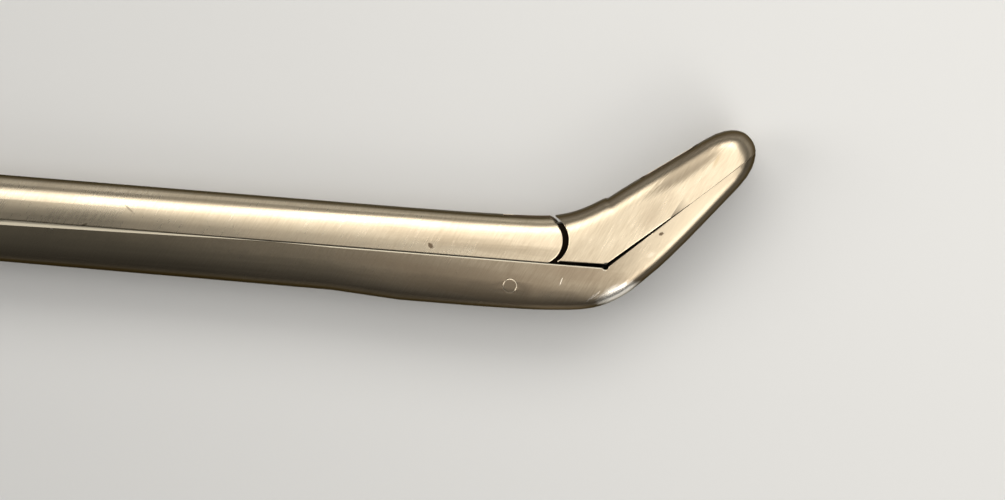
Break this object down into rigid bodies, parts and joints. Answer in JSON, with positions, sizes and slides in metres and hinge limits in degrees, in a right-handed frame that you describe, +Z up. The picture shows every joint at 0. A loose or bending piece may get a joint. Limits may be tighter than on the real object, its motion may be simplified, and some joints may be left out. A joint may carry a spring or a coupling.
{
  "type": "nasal forceps",
  "caption": "Upturned nasal cutting forceps: a sliding shaft opens a cupped upper jaw against a fixed lower jaw when the ring handles are spread",
  "frame": {"origin": "on the axis of the handle screw, in the plane that the side of the joint plate rests on", "axes": "+X runs along the shaft towards the jaws, +Y is the side that the upper jaw opens to, +Z points up along the pins, because the forceps lies on its side"},
  "size_m": [0.1646, 0.1104, 0.0056],
  "materials": {
    "satin_steel": "finely ground satin, polished on the rounded edges",
    "pin_steel": "ground flush",
    "screw_steel": "turned, lightly polished"
  },
  "bodies": {
    "shaft": {"fixed_half": "satin_steel", "jaw_pivot_pin": "pin_steel", "handle_screw": "screw_steel"},
    "slide": {"slide_bar": "satin_steel", "lever_pin": "pin_steel"},
    "jaw": {"upper_jaw": "satin_steel", "drive_pin": "pin_steel"},
    "finger": {"finger_handle": "satin_steel"}
  },
  "joints": [
    {"name": "handle_swing", "type": "hinge", "parent": "shaft", "child": "finger", "pos_m": [0, 0, 0.0028], "axis": [0, 0, 1], "range_deg": [0, 15.54]},
    {"name": "slide_travel", "type": "slide", "parent": "shaft", "child": "slide", "axis": [-1, 0, 0], "range_m": [0, 0.00216]},
    {"name": "jaw_swing", "type": "hinge", "parent": "shaft", "child": "jaw", "pos_m": [0.10611, 0.00493, 0.0028], "axis": [0, 0, 1], "range_deg": [0, 38]}
  ],
  "couplings": [
    {"joint": "slide_travel", "follows": "handle_swing", "m_per_rad": 0.0079488},
    {"joint": "jaw_swing", "follows": "handle_swing", "ratio": 2.444}
  ]
}
